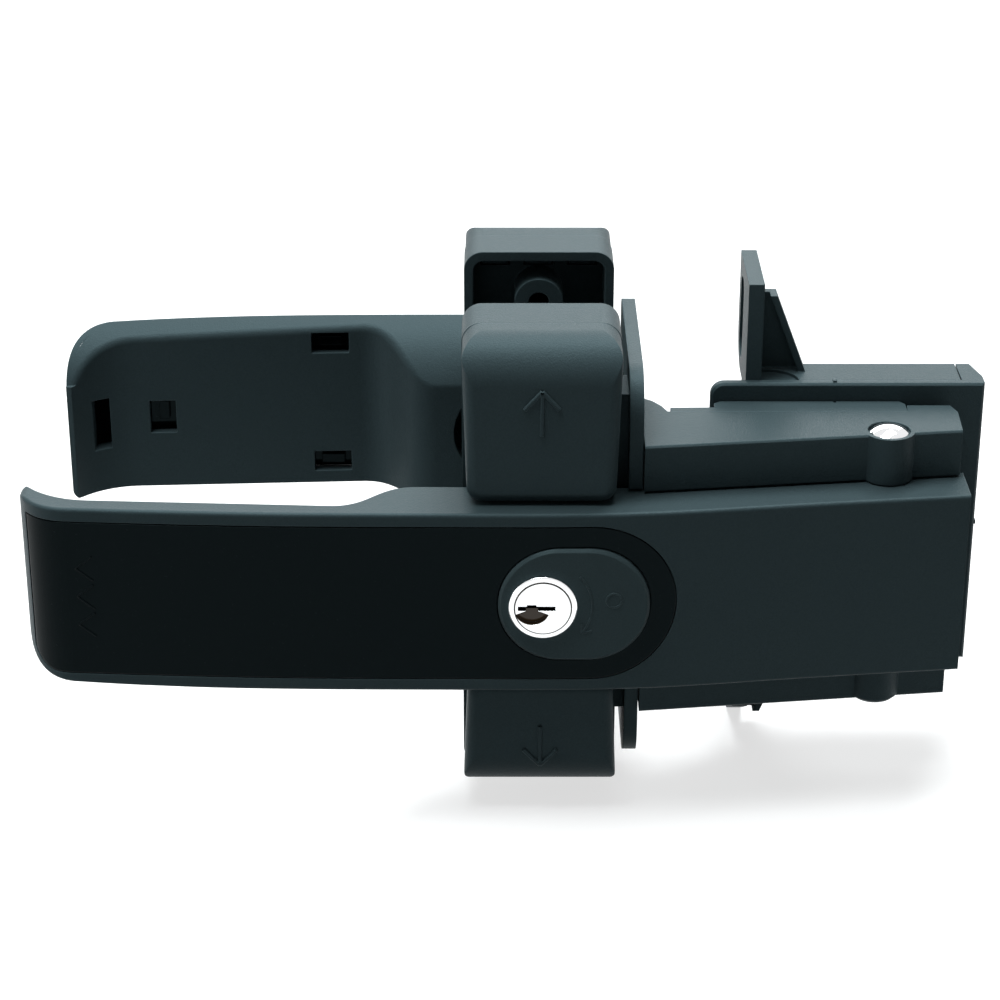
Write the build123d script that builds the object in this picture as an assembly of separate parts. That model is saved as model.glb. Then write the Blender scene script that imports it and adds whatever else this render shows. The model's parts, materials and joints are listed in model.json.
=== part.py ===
from build123d import *
import math
import os

os.makedirs("parts", exist_ok=True)

# Magnetic gate latch in three modules: front on the gate, rear on the gate, striker on the post.
# X runs along the gate towards the post, Y into the gate, Z up, all in mm.
# The origin is on the front mounting face, at the covers' centre and the front handle's mid-height.

# Driving sizes
gate_thickness = 37.1
clearance = 0.3
running_fit = 0.05
wall = 2.4

base_width = 39.3
base_height = 123.8
base_mid_z = 4.9
base_depth = 13.6
base_corner = 5.0
base_shelf = 5.0
cover_depth = 15.0
cover_round = 11.0
cover_edge = 2.8
cover_wall = 2.2
cover_draft = 1.3
clip_x = (-11.5, 0, 11.5)
clip_inset = 6.0
base_screw_reach = 48.0
base_screw_hole = 2.7
base_screw_head = 4.8
base_boss = 6.4

flange_x = 21.7
flange_thickness = 3.5
flange_reach = 39.5
flange_half_height = 54.0
flange_front = -20.0
flange_shoulder = 12.0
flange_screw_reach = 38.0

handle_height = 49.0
handle_crown = 33.4
handle_left = -129.8
handle_curl = 13.4
handle_right = 106.4
handle_wall = 2.5
crown_round = 0.9
end_round = 8.0
end_corner = 2.5
edge_bulge = 2.2
rear_crease = 2.5
grip_depth = 5.2
hub_depth = 16.2
front_hub_start = -31.0
rear_hub_start = -28.0
shoulder_length = 21.0

inlay_height = 41.7
inlay_thickness = 1.5
inlay_bed = 0.05
inlay_inset = 2.6
inlay_right = 33.4
inlay_round = 6.0

lock_x = 0.4
pocket_right = 12.7
tongue_screw_x = 16.8
tongue_thickness = 3.0
lock_nut_radius = 10.9
barrel_radius = 8.45
barrel_rim = 0.45
plug_radius = 7.2
fan_radius = 4.5
fan_x = -2.7
escutcheon_x = 8.1
escutcheon_length = 37.6
escutcheon_height = 30.6
escutcheon_back = -31.0
escutcheon_face = -34.4
barrel_face = -35.6
plug_face = -35.8
barrel_back = -11.0

arm_half_height = 37.25
arm_right = 105.6
arm_front_left = -21.4
arm_front_right = -11.4
arm_back = 0.9
arm_pocket_back = -1.5

pivot_x = 86.8
pivot_y = -10.9
pivot_radius = 2.5
pivot_boss = 6.45
pivot_head = 4.85
boss_gap = 0.4

hook_x = 68.0
hook_y = -7.0
hook_pin_radius = 2.0
hook_half_height = 5.0
hook_tail = 9.4
drive_stud_radius = 2.0
hook_barb = 3.5

rear_pivot_x = -4.0
rear_pivot_reach = 21.4
rear_lug_radius = 4.7
rear_grip_reach = 34.9
rear_handle_right = 19.5
rod_x = 16.0
rod_radius = 2.5
sleeve_wall = 1.0
stile_wall = 2.2
snib_x = 8.6
snib_radius = 6.0
rear_pocket_x = -8.8
rear_pocket_z = -5.1
rear_pocket_radius = 14.2

striker_gap = 0.6
striker_left = 43.5
striker_right = 113.4
striker_top = 41.9
striker_mid_z = 2.3
striker_plate = 2.3
striker_block_depth = 11.1
striker_wrap = 5.6
striker_slit = 0.35
index_x = 75.2
index_nub = 0.5
striker_screw_x = (62.0, 104.0)
striker_screw_z = 30.0
ear_x = 52.5
ear_thickness = 4.0
ear_top = 67.8
ear_reach = 36.1
ear_slot_width = 8.0
ear_slot_length = 22.0
ear_low_cut = 10.0
ear_recess_radius = 7.4
ear_recess_depth = 0.9
ear_recess_flat = 2.3
gusset_rim = 1.8

# Sizes worked out from the driving sizes
half_handle = handle_height / 2
handle_gap = half_handle + 0.5
cover_face = base_depth + cover_depth
rear_mid_z = 2 * base_mid_z
base_top = base_mid_z + base_height / 2
base_bottom = base_mid_z - base_height / 2
flange_right = flange_x + flange_thickness
arm_left = flange_right + clearance
back_cover_face = arm_back + 6.5
striker_face = back_cover_face + striker_gap
striker_block_front = striker_face + striker_plate
striker_back = striker_block_front + striker_block_depth
rear_pivot_y = gate_thickness + rear_pivot_reach
rear_grip_front = gate_thickness + rear_grip_reach
rear_outer = rear_grip_front + grip_depth
rear_hub_face = rear_outer - hub_depth
striker_half = striker_top - striker_mid_z
pocket_half = half_handle + 0.7
tongue_half = handle_gap - 3.5
tongue_screw_z = half_handle - 7.5
barrel_body = barrel_radius - barrel_rim


def box(x, y, z):
    """Solid box between pairs of limits."""
    middle = ((x[0] + x[1]) / 2, (y[0] + y[1]) / 2, (z[0] + z[1]) / 2)
    return Pos(*middle) * Box(abs(x[1] - x[0]), abs(y[1] - y[0]), abs(z[1] - z[0]))


def rod_along_x(y, z, radius, x):
    return Pos((x[0] + x[1]) / 2, y, z) * Rot(0, 90, 0) * Cylinder(radius, x[1] - x[0])


def rod_along_y(x, z, radius, y):
    return Pos(x, (y[0] + y[1]) / 2, z) * Rot(90, 0, 0) * Cylinder(radius, y[1] - y[0])


def rod_along_z(x, y, radius, z):
    return Pos(x, y, (z[0] + z[1]) / 2) * Cylinder(radius, z[1] - z[0])


def plan_prism(face, z):
    """Extrude a plan outline, drawn in X and Y, between two heights."""
    return Pos(0, 0, z[0]) * extrude(face, z[1] - z[0], dir=(0, 0, 1))


def front_prism(sketch, y):
    """Extrude an outline seen from the front, drawn in X and Z, between two depths."""
    plane = Plane(origin=(0, y[1], 0), x_dir=(1, 0, 0), z_dir=(0, -1, 0))
    return extrude(plane * sketch, y[1] - y[0], dir=(0, -1, 0))


def side_prism(sketch, x):
    """Extrude an outline seen from the side, drawn in Y and Z, between two X values."""
    plane = Plane(origin=(x[0], 0, 0), x_dir=(0, 1, 0), z_dir=(1, 0, 0))
    return extrude(plane * sketch, x[1] - x[0], dir=(1, 0, 0))


def stadium(length, height):
    return SlotOverall(length, height)


def polygon(points):
    return make_face(Polyline(*points, close=True))


def torsion_spring(x, y, radius, wire, z, turns, start_angle):
    """Coil about an upright pin."""
    pitch = (z[1] - z[0]) / turns
    path = Helix(pitch, z[1] - z[0], radius)
    profile = Plane(origin=path @ 0, z_dir=path % 0) * Circle(wire)
    coil = sweep(profile, path=path, is_frenet=True)
    return Pos(x, y, z[0]) * Rot(0, 0, start_angle) * coil


def turned(shape):
    """Turn a front-module shape about X so that it sits on the gate's other face."""
    return Location((0, gate_thickness, rear_mid_z), (180, 0, 0)) * shape


# Front base and its rear twin

def base_tray():
    """Moulded tray, open to the gate above and below, and to the handle in the middle."""
    outline = Pos(0, base_mid_z) * RectangleRounded(base_width, base_height, base_corner)
    tray = front_prism(outline, (-base_depth, 0))
    shelf_top = handle_gap + base_shelf / 2
    inner_round = base_corner - wall
    for low, high in ((shelf_top, base_top - wall), (base_bottom + wall, -shelf_top)):
        room = Pos(0, (low + high) / 2) * RectangleRounded(base_width - 2 * wall, high - low, 3.0)
        tray -= front_prism(room, (wall - base_depth, 1))
    size = (base_width - 2 * wall, base_height - 2 * wall)
    inside = Pos(0, base_mid_z) * RectangleRounded(*size, inner_round)
    keep = front_prism(inside, (wall - base_depth, 0))
    full = front_prism(outline, (wall - base_depth, 0))
    tray += full - keep
    for side in (-1, 1):
        tray += base_screw_boss(base_mid_z + side * base_screw_reach)
    for side in (-1, 1):
        tray -= base_screw_bore(base_mid_z + side * base_screw_reach)
    for x in clip_x:
        for z in (base_top - clip_inset, base_bottom + clip_inset):
            tray -= box((x - 4, x + 4), (-base_depth - 1, wall - base_depth + 1), (z - 1.6, z + 1.6))
    return tray


def base_screw_boss(z):
    return rod_along_y(0, z, base_boss, (-base_depth, 0))


def base_screw_bore(z):
    bore = rod_along_y(0, z, base_screw_hole, (-base_depth - 1, 1))
    bore += rod_along_y(0, z, base_screw_head, (-base_depth - 1, -4.6))
    return bore


def middle_pocket(x):
    reach = half_handle - 2.0
    return box(x, (-base_depth - 1, -3.0), (-reach, reach))


def side_flange():
    """Plate along the gate's edge, with its shoulders rounded at the front."""
    length = flange_reach - flange_front
    outline = Pos((flange_reach + flange_front) / 2, 0) * Rectangle(length, 2 * flange_half_height)
    corners = outline.vertices()
    outline = fillet(corners.filter_by(lambda v: v.X < 0), flange_shoulder)
    outline = fillet(outline.vertices().filter_by(lambda v: v.X > 30), 3.0)
    plate = side_prism(outline, (flange_x, flange_right))
    through = (flange_x - 1, flange_right + 1)
    plate -= box(through, (flange_front - 1, -base_depth), (-pocket_half, pocket_half))
    for z in (-flange_screw_reach, flange_screw_reach):
        plate -= rod_along_x(gate_thickness / 2, z, base_screw_hole, through)
    return plate


def front_base():
    body = base_tray()
    body -= middle_pocket((-base_width / 2 + wall, pocket_right))
    body += box((base_width / 2 - 3, flange_x + 0.1), (-base_depth, -1.0), (-40, 48))
    body += side_flange()
    for z in (-tongue_screw_z, tongue_screw_z):
        body -= rod_along_y(tongue_screw_x, z, 1.7, (-base_depth - 1, -3.0))
    body -= rod_along_y(rod_x, rear_mid_z, rod_radius + clearance, (-base_depth - 1, 1))
    return body


def cover_block(z, grow):
    """Cover outline with drafted sides and a rounded end, shrunk by grow for its inside."""
    low, high = z
    outer = base_width / 2 - grow
    inner = outer - cover_draft
    end_at_top = high > -low
    ends = ((outer, inner) if end_at_top else (inner, outer))
    top_half, bottom_half = ends
    face = polygon([(-bottom_half, low + grow), (bottom_half, low + grow),
                    (top_half, high - grow), (-top_half, high - grow)])
    far = high if end_at_top else low
    face = fillet(face.vertices().filter_by(lambda v: abs(v.Y - far) < grow + 1), base_corner - grow)
    face = fillet(face.vertices().filter_by(lambda v: abs(v.Y - far) > (high - low) / 2), 4.0 - grow)
    block = front_prism(face, (-cover_face + grow, -base_depth + (1 if grow else 0)))
    front_edges = block.edges().filter_by(lambda e: e.bounding_box().max.Y < grow - cover_face + 0.01)
    block = fillet(front_edges, cover_edge - grow)
    depth = cover_face - base_depth + 2
    middle_y = -(base_depth + cover_face) / 2 + 1 + grow
    side = Pos(middle_y, (low + high) / 2) * Rectangle(depth, high - low - 2 * grow)
    end = side.vertices().filter_by(lambda v: v.X < middle_y and abs(v.Y - far) < grow + 1)
    side = fillet(end, cover_round - grow)
    near = side.vertices().filter_by(lambda v: v.X < middle_y and abs(v.Y - far) > (high - low) / 2)
    side = fillet(near, 1.6)
    return block & side_prism(side, (-base_width, base_width))


def cover(z):
    """Clip-on screw cover, open towards the base."""
    shell = cover_block(z, 0) - cover_block(z, cover_wall)
    end = base_top - clip_inset if z[1] > -z[0] else base_bottom + clip_inset
    for x in clip_x:
        shell += box((x - 3.4, x + 3.4), (-base_depth - 3, wall - base_depth), (end - 1.2, end + 1.2))
        shell += cover_rib(x, z, end)
    return shell


def cover_rib(x, z, end):
    """Web that ties one clip to the cover's end wall."""
    wall_z = z[1] - 1.5 if z[1] > -z[0] else z[0] + 1.5
    low, high = sorted((end, wall_z))
    return box((x - 1, x + 1), (-base_depth - 6, -base_depth), (low, high))


# Handles

def handle_plan(place, kink, hub):
    """Plan outline of a handle, from distances along the gate and depths from the crown."""
    curl = handle_curl
    centre_x = handle_left + curl
    centre_u = curl + 3.3
    tip = (handle_left, centre_u)
    shoulder = (centre_x - curl * math.sin(math.pi / 4), centre_u - curl * math.cos(math.pi / 4))
    lead = math.radians(4)
    start = (centre_x - curl * math.sin(lead), centre_u - curl * math.cos(lead))
    crown = [start, (centre_x + 50, 0.6), (-20, 0.05)] + kink
    lead_in = direction(place, math.cos(lead), -math.sin(lead))
    end_slope = (kink[-1][0] - kink[-2][0], kink[-1][1] - kink[-2][1])
    inner_tip = (handle_left + 1.5, centre_u + 0.4)
    lip = (handle_left + 17.8, grip_depth + 3.2)
    trough = (hub[0][0] - shoulder_length, grip_depth)
    middle = (hub[0][0] - shoulder_length / 2, (grip_depth + hub[0][1]) / 2)
    along = direction(place, trough[0] - lip[0], trough[1] - lip[1])
    edges = [
        ThreePointArc(place(*tip), place(*shoulder), place(*start)),
        Spline(*[place(*p) for p in crown], tangents=[lead_in, direction(place, *end_slope)]),
        Line(place(*kink[-1]), place(*hub[-1])),
    ]
    edges += [Line(place(*a), place(*b)) for a, b in zip(hub, hub[1:])]
    slope = [place(*trough), place(*middle), place(*hub[0])]
    edges.append(Spline(*slope, tangents=[along, direction(place, 1, 0)]))
    edges.append(Line(place(*trough), place(*lip)))
    edges.append(TangentArc(place(*lip), place(*inner_tip), tangent=tuple(-a for a in along)))
    edges.append(Line(place(*inner_tip), place(*tip)))
    return make_face(Curve() + edges)


def direction(place, x, u):
    """Turn a direction along the gate and away from the crown into plan."""
    return tuple(b - a for a, b in zip(place(0, 0), place(x, u)))


def front_place(x, u):
    return (x, u - handle_crown)


def rear_place(x, u):
    return (x, rear_outer - u)


def front_plan():
    kink = [(25, 0.9), (60, 5.3), (handle_right, 11.0)]
    hub = [(front_hub_start, hub_depth), (20, 15.6), (handle_right, 24.8)]
    return handle_plan(front_place, kink, hub)


def rear_plan():
    kink = [(rear_handle_right - 12, 0.6), (rear_handle_right, 1.4)]
    hub = [(rear_hub_start, hub_depth), (rear_handle_right, hub_depth)]
    return handle_plan(rear_place, kink, hub)


def inlay_outline(grow):
    return panel_outline(inlay_right, -1, grow)


def panel_outline(right, side, grow):
    """Glossy panel from the front: one left corner round, below or above, and half round at the right."""
    height = inlay_height + 2 * grow
    left = handle_left + inlay_inset - grow
    centre = right - inlay_height / 2
    plate = Pos((left + centre) / 2, 0) * Rectangle(centre - left, height)
    corner = plate.vertices().filter_by(lambda v: v.X < left + 1 and v.Y * side > 0)
    return fillet(corner, inlay_round + grow) + Pos(centre, 0) * Circle(height / 2)


def front_skin(plan, depth):
    """Layer of even depth under a handle's outer face."""
    body = plan_prism(plan, (-half_handle, half_handle))
    return body - Pos(depth * 0.5, depth, 0) * body


def front_handle():
    plan = front_plan()
    handle = plan_prism(plan, (-half_handle, half_handle))
    handle = fillet(crown_edges(handle, -handle_crown), crown_round)
    handle &= front_prism(handle_outline(-1), (-60, 60))
    handle -= gate_side_round(front_place, -1, front_hub_start - shoulder_length + 4)
    recess = front_prism(inlay_outline(clearance), (-60, 0))
    handle -= front_skin(plan, inlay_thickness) & recess
    under = front_prism(inlay_outline(-2.0), (-60, 0)) & box((-118, -48), (-60, 0), (-25, 25))
    handle -= (front_skin(plan, grip_depth - handle_wall + 0.2)) & under
    handle -= handle_back_cavity()
    handle += lock_tower()
    handle += handle_hub()
    handle -= front_prism(lock_hole_outline(), (-60, escutcheon_back))
    handle -= rod_along_y(lock_x, 0, barrel_body + running_fit, (-60, 0))
    handle -= rod_along_z(pivot_x, pivot_y, pivot_radius + running_fit, (-40, 40))
    for cut in grip_windows(front_place, -1):
        handle -= cut
    return handle


def handle_outline(side):
    """Handle from the front, with its large end corner below or above."""
    length = handle_right + 1 - handle_left
    face = Pos(handle_left + length / 2, 0) * Rectangle(length, handle_height)
    large = face.vertices().filter_by(lambda v: v.X < handle_left + 1 and v.Y * side > 0)
    face = fillet(large, end_round)
    small = face.vertices().filter_by(lambda v: v.X < handle_left + 1 and v.Y * side < 0)
    return fillet(small, end_corner)


def gate_side_round(place, side, right):
    """What is cut from a handle's gate-side edge, below or above, in one long curve."""
    def point(depth, z):
        return (place(0, depth)[1], side * z)
    start = (1.0, half_handle)
    end = (hub_depth, half_handle - hub_depth + 1.0)
    bulge = edge_bulge / math.sqrt(2)
    middle = ((start[0] + end[0]) / 2 + bulge, (start[1] + end[1]) / 2 + bulge)
    far = hub_depth + 6
    edges = [ThreePointArc(point(*start), point(*middle), point(*end)),
             Line(point(*end), point(far, end[1])),
             Line(point(far, end[1]), point(far, half_handle + 1)),
             Line(point(far, half_handle + 1), point(1.0, half_handle + 1)),
             Line(point(1.0, half_handle + 1), point(*start))]
    return side_prism(make_face(Curve() + edges), (handle_left - 1, right))


def crown_edges(handle, crown_y):
    """Long upper and lower edges along a handle's crown."""
    edges = handle.edges().filter_by(lambda e: abs(e.center().Z) > half_handle - 0.1)
    return edges.filter_by(lambda e: e.length > 60 and abs(e.center().Y - crown_y) < 2.5)


def handle_back_cavity():
    """Hollow behind the handle from its hub to its right end, open towards the arm."""
    cavity_left = front_hub_start + 4
    front = [(cavity_left, -30.6), (24, -29.4), (60, -25.0), (handle_right - 2.6, -19.6)]
    plan = polygon(front + [(handle_right - 2.6, 0), (cavity_left, 0)])
    return plan_prism(plan, (-half_handle + handle_wall, half_handle - handle_wall))


def lock_tower():
    """Boss that carries the lock barrel."""
    return rod_along_y(lock_x, 0, barrel_radius + 2.6, (escutcheon_back, -15.0))


def handle_hub():
    """Two pivot hubs joined to the handle's front wall, and the plate that drives the hook."""
    hubs = None
    for side in (-1, 1):
        z = sorted((side * 9.0, side * (half_handle - 0.5)))
        hub = rod_along_z(pivot_x, pivot_y, 5.4, z)
        hub += box((pivot_x - 5.4, pivot_x + 5.4), (-24.4, pivot_y), z) & hub_wedge()
        hubs = hub if hubs is None else hubs + hub
    return hubs + drive_plate()


def hub_wedge():
    """Room in front of the pivot, up to just inside the sloping front wall."""
    plan = polygon([(60, -26.0), (110, -20.0), (110, 5), (60, 5)])
    return plan_prism(plan, (-half_handle, half_handle))


def drive_plate():
    """Fork that the hook's drive stud runs in."""
    stud_x = hook_x + hook_tail
    plate = box((stud_x - 3.2, pivot_x - 4), (-25.8, hook_y + 4.4), (9.4, 12.0)) & hub_wedge()
    width = 2 * (drive_stud_radius + 0.35)
    fork = Pos(stud_x - 1.8, hook_y, 10) * extrude(SlotOverall(9.4, width), 8, both=True)
    return plate - fork


def gate_side_crease(handle):
    """Long straight crease between the rear grip's back and its rounded edge."""
    edges = handle.edges().filter_by(lambda e: 50 < e.length < 100 and e.bounding_box().max.X < -40)
    return edges.filter_by(lambda e: half_handle - 4.5 < e.center().Z < half_handle - 0.2)


def grip_windows(place, side):
    """Clip windows in the grip's back, and one in its curled end; side 1 is the rear handle's."""
    cuts = [window(place, side, (-108.2, -100.9), (-8.2, 1.5), 2.8)]
    cuts.append(window(place, side, (-123.6, -119.1), (-12.0, 3.1), 5.3))
    for z in ((14.9, 20.9), (-20.9, -14.9)):
        cuts.append(window(place, side, (-62.6, -52.2), z, 1.2))
    return cuts


def window(place, side, x, z, depth):
    return box(x, sorted((place(0, depth)[1], place(0, depth + 12)[1])), sorted((side * z[0], side * z[1])))


def inlay_clips(place, side):
    """Clips on the panel's back that show in the grip's windows."""
    clips = clip_on_panel(place, side, (-105.8, -103.0), (-4.8, 0.6), (3.1, 6.0))
    for z in ((16.6, 19.2), (-19.2, -16.6)):
        clips += clip_on_panel(place, side, (-60.6, -54.2), z, (1.2, 3.9))
    return clips


def clip_on_panel(place, side, x, z, depth):
    return box(x, sorted((place(0, depth[0])[1], place(0, depth[1])[1])), sorted((side * z[0], side * z[1])))


def front_handle_inlay():
    plan = front_plan()
    panel = front_skin(plan, inlay_thickness - inlay_bed) & front_prism(inlay_outline(0), (-60, 0))
    panel -= front_prism(lock_hole_outline(), (-60, 0))
    return panel + inlay_clips(front_place, -1)


def lock_hole_outline():
    """Opening round the escutcheon, from the front."""
    gap = 2 * clearance
    return Pos(escutcheon_x, 0) * stadium(escutcheon_length + gap, escutcheon_height + gap)


def edges_at(shape, y):
    """Edges that lie at one depth."""
    return shape.edges().filter_by(lambda e: abs(e.center().Y - y) < 0.01)


def lock_escutcheon():
    outline = Pos(escutcheon_x, 0) * stadium(escutcheon_length, escutcheon_height)
    plate = front_prism(outline, (escutcheon_face, escutcheon_back))
    plate = chamfer(edges_at(plate, escutcheon_face), 0.7)
    return plate - rod_along_y(lock_x, 0, barrel_body + running_fit, (-60, 0))


def lock_barrel():
    """Barrel with a rim on the escutcheon, bored for the plug."""
    barrel = rod_along_y(lock_x, 0, barrel_body, (barrel_face, barrel_back))
    barrel += rod_along_y(lock_x, 0, barrel_radius, (barrel_face, escutcheon_face))
    barrel = chamfer(edges_at(barrel, barrel_face), 0.3)
    return barrel - rod_along_y(lock_x, 0, plug_radius, (-60, 0))


def lock_nut():
    nut = front_prism(Pos(lock_x, 0) * RegularPolygon(lock_nut_radius, 6), (-15.0, -11.6))
    return nut - rod_along_y(lock_x, 0, barrel_body + 0.02, (-60, 0))


def key_plug():
    """Turning plug with its keyway, and a hollow below it where the key's shoulder goes in."""
    plug = rod_along_y(lock_x, 0, plug_radius - running_fit, (plug_face, -9.0))
    plug = chamfer(edges_at(plug, plug_face), 0.2)
    plug += box((lock_x - 2.5, lock_x + 2.5), (-9.0, -6.2), (-2.5, 2.5))
    keyway = box((lock_x - 6.2, lock_x + 3.1), (-40, -24), (-0.6, 0.6))
    keyway += box((lock_x - 4.0, lock_x - 1.6), (-40, -24), (-0.6, 1.0))
    plug -= keyway
    plug -= front_prism(key_fan(), (-40, plug_face + 1.6))
    return plug - rod_along_y(lock_x, 0, 1.2, (-16, 0))


def key_fan():
    """Sector below the keyway, seen from the front."""
    def rim(degrees):
        angle = math.radians(degrees)
        return (lock_x + fan_x + fan_radius * math.cos(angle), fan_radius * math.sin(angle))
    centre = (lock_x + fan_x, 0)
    edges = [Line(centre, rim(-158)), ThreePointArc(rim(-158), rim(-90), rim(-22)), Line(rim(-22), centre)]
    return make_face(Curve() + edges)


def lock_cam():
    """Cam on the plug's square, pointing down while unlocked."""
    plate = rod_along_y(lock_x, 0, 5.5, (-8.8, -6.3))
    plate += box((lock_x - 3.5, lock_x + 3.5), (-8.8, -6.3), (-14.5, 0))
    plate -= box((lock_x - 2.5, lock_x + 2.5), (-10, 0), (-2.5, 2.5))
    return plate


def cam_screw():
    screw = rod_along_y(lock_x, 0, 3.6, (-6.2, -4.2)) + rod_along_y(lock_x, 0, 1.2, (-15, -6.2))
    return screw - box((lock_x - 4, lock_x + 4), (-4.9, -4), (-0.5, 0.5))


# Arm that reaches over the gap to the post

def arm_plan():
    return polygon([
        (arm_left, arm_front_left), (arm_right - 0.5, arm_front_right), (arm_right, 0.5),
        (arm_right - 1.4, 4.7), (93.3, 4.7), (92.9, arm_back), (32.2, arm_back),
        (30.9, 4.3), (28.6, 7.8), (arm_left, 10.2)])


def latch_housing():
    body = plan_prism(arm_plan(), (-arm_half_height, arm_half_height))
    body = chamfer(arm_top_edges(body), 0.5)
    pocket = polygon([(arm_left + 3, -40), (arm_right + 5, -40), (arm_right + 5, arm_pocket_back),
                      (arm_left + 3, arm_pocket_back)])
    body -= plan_prism(pocket, (-pocket_half, pocket_half))
    tongue_face = -base_depth - tongue_thickness
    body -= box((arm_left - 1, arm_left + 4), (-40, tongue_face), (-pocket_half, pocket_half))
    body += box((pocket_right + 0.6, arm_left + 3), (tongue_face, -base_depth), (-tongue_half, tongue_half))
    for z in (-tongue_screw_z, tongue_screw_z):
        body -= rod_along_y(tongue_screw_x, z, 2.2, (-20, -10))
    body -= rod_along_y(rod_x, rear_mid_z, rod_radius + 0.5, (-20, -10))
    body += pivot_bosses()
    body += hook_shelves()
    body -= box((hook_x - 4.0, hook_x + 8.0), (-2, 5), (-8, 8))
    body -= rod_along_z(pivot_x, pivot_y, pivot_radius + 0.03, (-60, 60))
    body -= rod_along_z(pivot_x, pivot_y, pivot_head + 0.5, (arm_half_height - 1.0, 60))
    body -= rod_along_z(pivot_x, pivot_y, pivot_head + 0.3, (-60, -arm_half_height + 1.6))
    for x, z in back_screw_places():
        body -= rod_along_y(x, z, 1.3, (-11, 2))
    return body


def arm_top_edges(body):
    edges = body.edges().filter_by(lambda e: abs(abs(e.center().Z) - arm_half_height) < 0.01)
    return edges.filter_by(lambda e: e.length > 60 and e.center().Y < -10)


def pivot_bosses():
    """Round lugs above and below the handle."""
    low = half_handle + boss_gap
    upper = rod_along_z(pivot_x, pivot_y, pivot_boss, (low, arm_half_height))
    lower = rod_along_z(pivot_x, pivot_y, pivot_boss, (-arm_half_height, -low))
    lower = chamfer(lower.edges().filter_by(lambda e: abs(e.center().Z + arm_half_height) < 0.01), 1.0)
    return upper + lower


def hook_shelves():
    """Two shelves on the pocket's back wall that hold the hook's pin."""
    shelves = None
    for side in (-1, 1):
        z = sorted((side * 9.0, side * 12.0))
        plan = polygon([(hook_x - 7, arm_pocket_back), (hook_x - 4.5, hook_y), (hook_x - 2.5, hook_y - 4),
                        (hook_x + 2.5, hook_y - 4), (hook_x + 4.5, hook_y), (hook_x + 4.5, arm_pocket_back)])
        shelf = plan_prism(plan, z) - rod_along_z(hook_x, hook_y, hook_pin_radius + 0.02, z)
        shelves = shelf if shelves is None else shelves + shelf
    return shelves


def back_screw_places():
    return [(x, z) for x in (50.0, 84.0) for z in (-31.0, 31.0)]


def housing_back_cover():
    """Cover plate on the arm's back, with the window that the hook passes through."""
    plan = polygon([(33.0, arm_back), (arm_right - 12.7, arm_back),
                    (arm_right - 12.7, back_cover_face - 1.8),
                    (arm_right - 14.0, back_cover_face), (45.9, back_cover_face),
                    (44.3, back_cover_face - 1.4), (44.3, arm_back + 2.6), (33.0, arm_back + 2.4)])
    body = plan_prism(plan, (-arm_half_height, arm_half_height))
    inside = box((46.7, arm_right - 15), (arm_back - 1, back_cover_face - wall), (-34.6, 34.6))
    inside -= box((hook_x - 6.5, hook_x + 12.5), (-5, 20), (-11, 11))
    for x, z in back_screw_places():
        inside -= rod_along_y(x, z, 4.0, (-5, 20))
    body -= inside
    body -= box((hook_x - 4.0, hook_x + 9.8), (-5, 20), (-8, 8))
    body -= box((index_x - 0.4, index_x + 0.4), (back_cover_face - 0.8, 20), (-40, 40))
    for x, z in back_screw_places():
        body -= rod_along_y(x, z, 1.7, (-5, 20))
        body -= Pos(x, back_cover_face - 0.75, z) * Rot(-90, 0, 0) * Cone(1.7, 3.2, 1.5)
    return body


def countersunk_screw(x, z, face, length):
    """Small countersunk screw driven towards -Y, with a cross recess."""
    screw = Pos(x, face - 0.75, z) * Rot(-90, 0, 0) * Cone(1.6, 3.1, 1.5)
    screw += rod_along_y(x, z, 1.25, (face - length, face - 0.75))
    screw -= box((x - 1.6, x + 1.6), (face - 0.6, face + 1), (z - 0.3, z + 0.3))
    screw -= box((x - 0.3, x + 0.3), (face - 0.6, face + 1), (z - 1.6, z + 1.6))
    return screw


def back_cover_screws():
    return Compound([countersunk_screw(x, z, back_cover_face, 15.0) for x, z in back_screw_places()])


def arm_screws():
    """Pan-head screws that hold the arm's tongue to the base."""
    screws = []
    face = -base_depth - tongue_thickness
    for z in (-tongue_screw_z, tongue_screw_z):
        head = rod_along_y(tongue_screw_x, z, 3.4, (face - 2.2, face))
        head = fillet(head.edges().filter_by(lambda e: e.center().Y < face - 2.1), 0.9)
        screw = head + rod_along_y(tongue_screw_x, z, 1.68, (face, -3.6))
        slot = box((tongue_screw_x - 2, tongue_screw_x + 2), (face - 3, face - 1.2), (z - 0.4, z + 0.4))
        cross = box((tongue_screw_x - 0.4, tongue_screw_x + 0.4), (face - 3, face - 1.2), (z - 2, z + 2))
        screws.append(screw - slot - cross)
    return Compound(screws)


def pivot_pin():
    """Pin with a low domed head, and a groove for its clip."""
    pin = rod_along_z(pivot_x, pivot_y, pivot_radius, (-arm_half_height + 0.2, arm_half_height - 1.0))
    dome_height = 1.7
    sphere_radius = (pivot_head ** 2 + dome_height ** 2) / (2 * dome_height)
    seat = arm_half_height - 1.0
    head = rod_along_z(pivot_x, pivot_y, pivot_head, (seat, seat + 0.6))
    cap = Pos(pivot_x, pivot_y, seat + 0.6 + dome_height - sphere_radius) * Sphere(sphere_radius)
    cap &= rod_along_z(pivot_x, pivot_y, pivot_head, (seat + 0.6, seat + 5))
    groove = rod_along_z(pivot_x, pivot_y, pivot_radius + 1, clip_heights(0.05))
    groove -= rod_along_z(pivot_x, pivot_y, pivot_radius - 0.5, (-60, 60))
    return pin + head + cap - groove


def clip_heights(grow):
    return (-arm_half_height + 0.7 - grow, -arm_half_height + 1.5 + grow)


def pivot_clip():
    clip = rod_along_z(pivot_x, pivot_y, 4.4, clip_heights(0))
    clip -= rod_along_z(pivot_x, pivot_y, pivot_radius - 0.45, (-60, 60))
    return clip - box((pivot_x - 1.6, pivot_x + 1.6), (pivot_y - 8, pivot_y), (-60, 60))


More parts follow.
